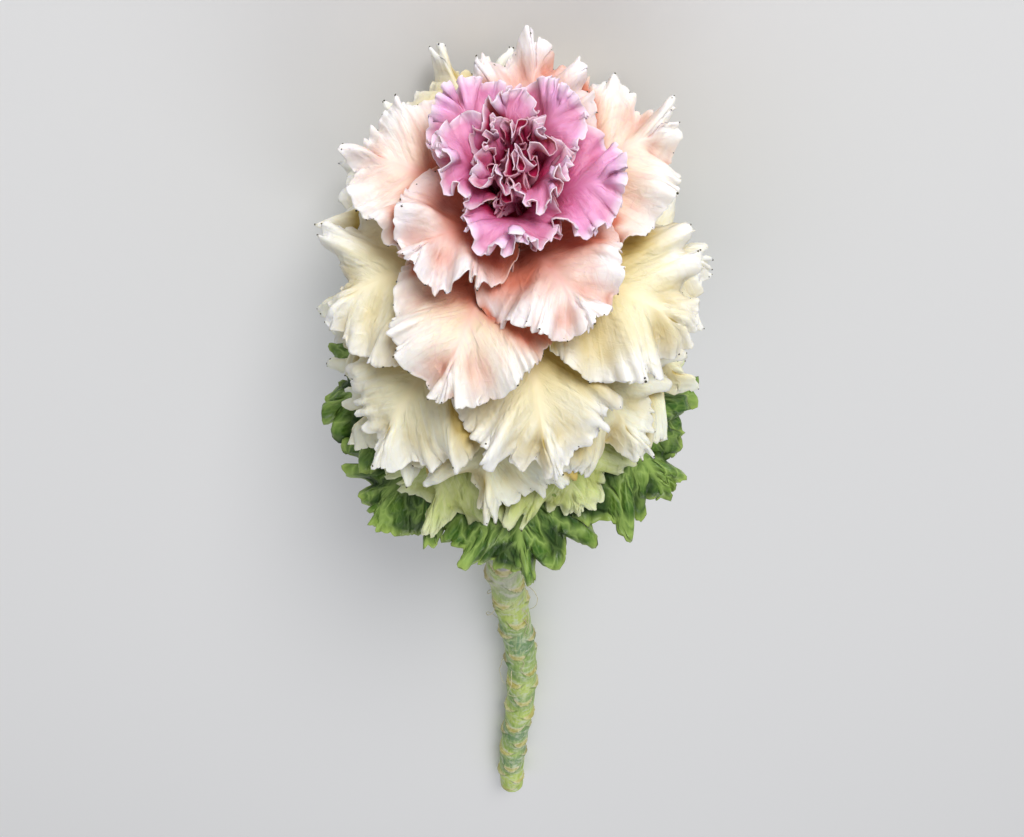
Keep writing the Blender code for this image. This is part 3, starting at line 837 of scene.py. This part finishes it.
def stalkSurface(back, turn):
    # the radius at each place, and what the finish reads there
    past = (back - stem["crownLength"]) / stem["stalkLength"]
    radius = stem["radiusAtHead"] + (stem["radiusAtCut"] - stem["radiusAtHead"]) * past
    swell, scar, rim, shadedCrease = (np.zeros_like(radius) for _ in range(4))
    rng = np.random.default_rng(71)
    for index in range(int(stem["stalkLength"] / stalkLook["scarSpacing"])):
        around = (turn - index * goldenAngle + math.pi) % (2.0 * math.pi) - math.pi
        off = back - (stem["crownLength"] + stalkLook["firstScar"] + index * stalkLook["scarSpacing"])
        lip = np.exp(-((off / np.where(off > 0.0, stalkLook["scarBelow"], stalkLook["scarAbove"])) ** 2))
        swell = np.maximum(swell, lip * np.exp(-((around / stalkLook["scarHalfAngle"]) ** 2)))
        sideways = around * radius
        width = stalkLook["scarWidth"] * rng.uniform(*stalkLook["widthRange"])
        height = stalkLook["scarHeight"] * rng.uniform(*stalkLook["heightRange"])
        bend = stalkLook["scarBend"] * rng.uniform(*stalkLook["bendRange"])
        up = (off + stalkLook["scarOffset"] + bend * sideways ** 2) / height
        far = np.hypot(sideways / width, up)
        scar = np.maximum(scar, smooth(1.0, 0.75, far))
        rim = np.maximum(rim, np.exp(-(((far - 1.0) / stalkLook["rimWidth"]) ** 2)))
        # a groove just outside each scar, which the finish also paints with shadow
        fold = np.exp(-(((far - stalkLook["creaseAt"]) / stalkLook["creaseWidth"]) ** 2))
        shadedCrease = np.maximum(shadedCrease, fold * smooth(-0.2, 0.5, up))
    nearHead = (1.0 - past) ** stalkLook["scarFade"]
    rise = stalkLook["scarRise"] + (stalkLook["scarRiseNearHead"] - stalkLook["scarRise"]) * nearHead
    relief = rise * swell + stalkLook["rimHeight"] * rim - stalkLook["scarDepth"] * (scar + shadedCrease)
    radius = radius + relief * smooth(0.0, stem["cutZone"], 1.0 - past)
    ridges = np.sin(9.0 * turn + 3.0 * np.sin(38.0 * back))
    ridges = ridges + 0.6 * np.sin(23.0 * turn + 2.0 * np.sin(61.0 * back + 1.0))
    radius = radius + stalkLook["ridgeHeight"] * ridges * (1.0 - scar)
    return radius, {"scar": scar, "rim": rim, "past": past, "shadedCrease": shadedCrease}


def stalkPlace(back, radius, turn):
    # a place from how far back along the stem it is, how far out and at which turn
    slope = pitchAt(back)
    centre = np.stack([np.interp(back, lineBack, linePoints[:, k]) for k in range(3)], axis=1)
    up = np.stack((np.zeros_like(slope), np.sin(slope), np.cos(slope)), axis=1)
    out = (radius * np.cos(turn))[:, None] * headRight + (radius * np.sin(turn))[:, None] * up
    return centre + out + shift


def makeStalk():
    sides, rings = stalkLook["sides"], stalkLook["rings"]
    around = np.linspace(0.0, 2.0 * math.pi, sides, endpoint=False)
    past, turn = np.repeat(np.linspace(0.0, 1.0, rings + 1), sides), np.tile(around, rings + 1)
    back = stem["crownLength"] + stem["gap"] + (stem["stalkLength"] - stem["gap"]) * past
    radius, facts = stalkSurface(back, turn)

    def placed(atBack, atRadius, atTurn, atPast):
        # the stalk is cut off at a slant
        slant = math.tan(math.radians(stem["cutSlant"])) * atRadius * np.sin(atTurn)
        return stalkPlace(atBack - slant * smooth(1.0 - stem["cutZone"], 1.0, atPast), atRadius, atTurn)

    outwards = (0, 3, 2, 1)  # the order of a face's corners
    points = [placed(back, radius, turn, past)]
    look = {key: [value] for key, value in facts.items()}
    look["pith"] = [np.ones_like(past)]
    here = np.arange(sides)
    quads = [ringQuads(here + row * sides, here + (row + 1) * sides)[:, outwards] for row in range(rings)]
    triangles = []
    count = len(back)
    for atEnd, edge in ((0.0, here), (1.0, here + rings * sides)):
        # each end is closed with rings of its own, down to the middle
        inner = edge
        for share in stalkLook["endRings"]:
            points.append(placed(back[edge], radius[edge] * share, turn[edge], np.full(sides, atEnd)))
            for key, values in look.items():
                values.append(np.full(sides, {"pith": share, "past": atEnd}.get(key, 0.0)))
            fresh = count + here
            ring = ringQuads(inner, fresh)[:, outwards]
            quads.append(ring if atEnd else ring[:, ::-1])
            inner = fresh
            count += sides
        points.append(placed(back[edge][:1], np.zeros(1), turn[edge][:1], np.full(1, atEnd)))
        for key, values in look.items():
            values.append(np.full(1, atEnd if key == "past" else 0.0))
        cap = np.stack((inner, np.full(sides, count), np.roll(inner, -1)), 1)
        triangles.append(cap if atEnd else cap[:, ::-1])
        count += 1
    points = np.concatenate(points)
    points[:, 2] = np.maximum(points[:, 2], 0.0)
    look = {key: np.concatenate(values) for key, values in look.items()}
    flat = np.zeros((len(points), 2))
    flat[: len(turn)] = np.stack((turn / (2.0 * math.pi), back * 100.0), 1)
    return points, np.concatenate(quads), np.concatenate(triangles), look, flat


def stalkFinish():
    material, shader, place, fact = newFinish("stalkFinish")
    streaks = noise(stretched(place, (1.0, 0.16, 1.0)), 700.0, 5.0, 0.6)
    cloud, bloom = noise(place, 90.0, 3.0), noise(place, 260.0, 5.0)
    zones, speck = noise(place, 38.0, 1.0), noise(place, 1100.0, 2.0)
    lilac = ramp(fact("past"), (0.0, 1.0), (0.30, 0.85), (0.46, 0.0))
    lilac = times(lilac, ramp(cloud, (0.46, 1.0), (0.62, 0.15)))
    scarTone = ramp(bloom, (0.40, (0.42, 0.30, 0.08)), (0.60, (0.66, 0.60, 0.26)))
    pith = ramp(
        fact("pith"), (0.0, (0.72, 0.76, 0.50)), (0.66, (0.66, 0.72, 0.42)), (0.74, (0.48, 0.56, 0.26)),
        (0.84, (0.70, 0.74, 0.48)), (0.96, (0.30, 0.44, 0.12)),
    )
    # zones of green to yellow-green, and what lies over them
    base = ramp(zones, (0.36, (0.13, 0.27, 0.10)), (0.50, (0.30, 0.46, 0.09)), (0.64, (0.48, 0.62, 0.09)))
    for amount, tone in (
        (ramp(streaks, (0.44, 0.0), (0.66, 0.55)), (0.62, 0.70, 0.32)),  # pale streaks
        (ramp(streaks, (0.30, 0.5), (0.44, 0.0)), (0.16, 0.28, 0.06)),  # dark streaks
        (ramp(bloom, (0.50, 0.0), (0.66, 0.70)), (0.62, 0.68, 0.50)),  # waxy bloom
        (times(lilac, 0.75), (0.54, 0.39, 0.54)),  # towards the head
        (times(fact("scar"), 0.70), scarTone),
        (times(fact("rim"), 0.75), (0.78, 0.64, 0.42)),
        # painted shadow in the groove below each scar's lip
        (times(fact("shadedCrease"), 0.75), (0.10, 0.13, 0.03)),
        (ramp(speck, (0.66, 0.0), (0.72, 0.7)), (0.30, 0.22, 0.08)),  # corky specks
        (ramp(fact("pith"), (0.97, 1.0), (0.99, 0.0)), pith),  # the cut ends
    ):
        base = mixed(amount, base, tone)
    relief = {"Height": plus(streaks, times(speck, 0.4)), "Strength": 0.4, "Distance": 0.0005}
    bump = addNode(shader.id_data, "ShaderNodeBump", relief)
    setInputs(shader, {
        "Base Color": base, "Normal": bump.outputs["Normal"], "Roughness": 0.55, "Specular IOR Level": 0.35,
    })
    return material


stalk = meshObject("stalkFine", *makeStalk(), stalkFinish())
madePieces.append((stalk, "stalk", "stalk"))
print("stalk", countTriangles(stalk), "triangles")

for thing, node, slotName in madePieces:
    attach(thing, "root")
    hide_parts(node)


# small things that repeat, grown with Geometry Nodes on points and lines
def plainFinish(name, look):
    material, shader, place, _ = newFinish(name)
    darker = tuple(value * look["mottle"] for value in look["colour"])
    base = ramp(noise(place, 900.0, 3.0), (0.38, darker), (0.62, look["colour"]))
    setInputs(shader, {"Base Color": base, "Roughness": look["roughness"]})
    return material


def newTree(name, sockets):
    # a tree with its named inputs, and the nodes that it ends in
    tree = bpy.data.node_groups.new(name, "GeometryNodeTree")
    tree.interface.new_socket("Geometry", in_out="INPUT", socket_type="NodeSocketGeometry")
    names = {}
    for label, kind, value in sockets:
        socket = tree.interface.new_socket(label, in_out="INPUT", socket_type=kind)
        socket.default_value = value
        names[label] = socket.identifier
    tree.interface.new_socket("Geometry", in_out="OUTPUT", socket_type="NodeSocketGeometry")
    given, result = tree.nodes.new("NodeGroupInput"), tree.nodes.new("NodeGroupOutput")

    def finish(geometry, material):
        real = addNode(tree, "GeometryNodeRealizeInstances", {"Geometry": geometry}).outputs["Geometry"]
        painted = addNode(tree, "GeometryNodeSetMaterial", {"Geometry": real, "Material": material})
        setInputs(result, {"Geometry": painted.outputs["Geometry"]})

    return tree, names, given.outputs, finish


def speckTree(material):
    # a little uneven bead on every point
    tree, names, given, finish = newTree("specks", (
        ("Size", "NodeSocketFloat", 0.00025), ("Spread", "NodeSocketFloat", 0.4), ("Seed", "NodeSocketInt", 1),
    ))
    bead = addNode(tree, "GeometryNodeMeshIcoSphere", {"Radius": given["Size"], "Subdivisions": 1})
    spread, seed = given["Spread"], given["Seed"]
    sizes = {"Min": maths("SUBTRACT", 1.0, spread), "Max": plus(1.0, spread), "Seed": seed}
    turns = {"Max": (6.28, 6.28, 6.28), "Seed": seed}
    scale, turn = (
        addNode(tree, "FunctionNodeRandomValue", ends, data_type="FLOAT_VECTOR").outputs[0]
        for ends in (sizes, turns)
    )
    placed = addNode(tree, "GeometryNodeInstanceOnPoints", {
        "Points": given["Geometry"], "Instance": bead.outputs["Mesh"], "Rotation": turn, "Scale": scale,
    })
    finish(placed.outputs["Instances"], material)
    return tree, names


def threadTree(material):
    # a tapering thread along every line
    tree, names, given, finish = newTree("threads", (
        ("Thickness", "NodeSocketFloat", 0.0002), ("Tip", "NodeSocketFloat", 0.4), ("Sides", "NodeSocketInt", 6),
    ))
    line = addNode(tree, "GeometryNodeMeshToCurve", {"Mesh": given["Geometry"]}).outputs["Curve"]
    taper = remap(addNode(tree, "GeometryNodeSplineParameter").outputs["Factor"], 0.0, 1.0, 1.0, given["Tip"])
    sized = addNode(tree, "GeometryNodeSetCurveRadius", {"Curve": line, "Radius": taper})
    size = {"Resolution": given["Sides"], "Radius": given["Thickness"]}
    ring = addNode(tree, "GeometryNodeCurvePrimitiveCircle", size)
    tube = addNode(tree, "GeometryNodeCurveToMesh", {
        "Curve": sized.outputs["Curve"], "Profile Curve": ring.outputs["Curve"], "Fill Caps": True,
    })
    if "Scale" in tube.inputs:  # where the node has this socket, it doesn't read the line's radius
        setInputs(tube, {"Scale": taper})
    finish(tube.outputs["Mesh"], material)
    return tree, names


def grow(name, points, edges, grower, inputs):
    # a tree's result on points and lines, as a plain mesh
    mesh = bpy.data.meshes.new(name)
    mesh.from_pydata([tuple(map(float, point)) for point in points], edges, [])
    thing = bpy.data.objects.new(name, mesh)
    bpy.context.scene.collection.objects.link(thing)
    tree, names = grower
    modifier = thing.modifiers.new("grow", "NODES")
    modifier.node_group = tree
    for label, value in inputs.items():
        modifier[names[label]] = value
    graph = bpy.context.evaluated_depsgraph_get()
    thing.data = bpy.data.meshes.new_from_object(thing.evaluated_get(graph))
    thing.modifiers.clear()
    bpy.data.meshes.remove(mesh)
    print(name, countTriangles(thing), "triangles")
    return thing


tipGrower = speckTree(plainFinish("tipFinish", tipLook))
for node in ("lime_leaves", "cream_leaves", "blush_leaves"):
    spots = keptInside(np.concatenate(bandTips[node]), tipLook["size"] * (1.0 + tipLook["spread"]))
    dots = grow(node.replace("_leaves", "Tips"), spots, [], tipGrower,
                {"Size": tipLook["size"], "Spread": tipLook["spread"], "Seed": 7})
    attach(dots, "root")

# pale threads that hang on the stalk, and the torn stubs of the last leaves stripped from it
threadLook = {
    "count": 13, "seed": 31, "along": (0.010, 0.26), "length": (0.012, 0.028), "standsOff": 0.0060,
    "thickness": 0.00020, "tip": 0.5, "sides": 6, "colour": (0.70, 0.64, 0.42), "roughness": 0.7, "mottle": 0.7,
}
stubLook = {
    "count": 6, "seed": 44, "along": (0.010, 0.085), "length": (0.004, 0.009), "sunk": 0.0025,
    "thickness": 0.0021, "tip": 0.35, "sides": 10, "colour": (0.56, 0.66, 0.22), "roughness": 0.55, "mottle": 0.6,
}
lineSteps = 8


def onStalk(back, turn, out):
    # a place beside the stalk's skin
    back, turn = np.array([back]), np.array([turn])
    return stalkPlace(back, stalkSurface(back, turn)[0] + out, turn)[0]


def stalkLines(look, curve):
    rng = np.random.default_rng(look["seed"])
    points, edges = [], []
    for _ in range(look["count"]):
        back = stem["crownLength"] + rng.uniform(*look["along"])
        turn = rng.uniform(-0.35, math.pi + 0.35)
        length = rng.uniform(*look["length"])
        lean = rng.uniform(-1.0, 1.0)
        edges += [(len(points) + k, len(points) + k + 1) for k in range(lineSteps)]
        points += [onStalk(*curve(back, turn, length, lean, k / lineSteps)) for k in range(lineSteps + 1)]
    return np.array(points), edges


def threadCurve(back, turn, length, lean, share):
    # along the stalk, lifting off its skin in the middle
    lifted = threadLook["standsOff"] * abs(lean) * math.sin(math.pi * share)
    out = lifted + 0.002 * share * (lean > 0.3) - 0.0003
    return back + length * share, turn + 0.6 * lean * share + 0.15 * math.sin(7.0 * share), out


def stubCurve(back, turn, length, lean, share):
    # outwards and towards the head
    sunk = stubLook["sunk"]
    return back - 0.55 * length * share, turn + 0.15 * lean * share, (sunk + 0.75 * length) * share - sunk


for name, finishName, look, curve in (
    ("stalkThreads", "threadFinish", threadLook, threadCurve), ("leafStubs", "stubFinish", stubLook, stubCurve)
):
    points, edges = stalkLines(look, curve)
    thing = grow(name, keptInside(points, look["thickness"]), edges, threadTree(plainFinish(finishName, look)),
                 {"Thickness": look["thickness"], "Tip": look["tip"], "Sides": look["sides"]})
    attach(thing, "root")


# floor, light and camera
studio = {
    "floorColour": (0.84, 0.84, 0.85), "floorSize": 60.0, "floorRoughness": 0.85,
    "worldColour": (0.95, 0.97, 1.0), "worldStrength": 0.32,
    "headAt": (0.0, -0.215, 0.05),
    "spread": 100.0,  # degrees
    "lights": (  # name, place, what it is turned to, size, power, colour
        ("keyLight", (-0.62, -2.85, 1.22), (0.0, -0.215, 0.05), 1.2, 25.7, (1.0, 0.99, 0.97)),
        ("fillLight", (0.6, 0.4, 1.4), (0.0, -0.215, 0.05), 1.4, 0.94, (1.0, 1.0, 1.0)),
        ("backLight", (-0.7, 2.6, 1.5), (0.0, 0.0, 0.0), 1.6, 7.2, (1.0, 1.0, 1.0)),
    ),
    "cameraDistance": 0.38, "cameraElevation": 44.0,  # from the head, in metres and degrees
    "lookAt": (0.0, -0.1166, 0.030), "lens": 46.0,
}

bpy.ops.mesh.primitive_plane_add(size=studio["floorSize"], location=(0.0, 0.0, 0.0))
floor = bpy.context.object
floor.name = "floor"
floorFinish, floorShader, _, _ = newFinish("floorFinish")
setInputs(floorShader, {"Base Color": colour(studio["floorColour"]), "Roughness": studio["floorRoughness"]})
floor.data.materials.append(floorFinish)

bpy.context.scene.view_settings.view_transform = "Standard"
world = bpy.data.worlds.new("studio")
bpy.context.scene.world = world
world.use_nodes = True
setInputs(world.node_tree.nodes["Background"], {
    "Color": colour(studio["worldColour"]), "Strength": studio["worldStrength"],
})

for name, place, aim, size, power, tone in studio["lights"]:
    data = bpy.data.lights.new(name, "AREA")
    data.shape = "DISK"
    data.size = size
    data.spread = math.radians(studio["spread"])
    data.energy = power
    data.color = tone
    light = bpy.data.objects.new(name, data)
    light.location = place
    light.rotation_euler = (Vector(aim) - Vector(place)).to_track_quat("-Z", "Y").to_euler()
    bpy.context.scene.collection.objects.link(light)

# the camera is rolled half a turn, so that the stalk runs down the picture
elevation = math.radians(studio["cameraElevation"])
towards = Vector((0.0, -math.cos(elevation), math.sin(elevation)))
cameraPlace = Vector(studio["headAt"]) + studio["cameraDistance"] * towards
view = (Vector(studio["lookAt"]) - cameraPlace).to_track_quat("-Z", "Y").to_matrix()
cameraData = bpy.data.cameras.new("camera")
cameraData.lens = studio["lens"]
cameraData.sensor_width = 36.0
cameraData.clip_start = 0.01
camera = bpy.data.objects.new("camera", cameraData)
camera.matrix_world = Matrix.Translation(cameraPlace) @ (view @ Matrix.Rotation(math.pi, 3, "Z")).to_4x4()
bpy.context.scene.collection.objects.link(camera)
bpy.context.scene.camera = camera

print("scene ready")
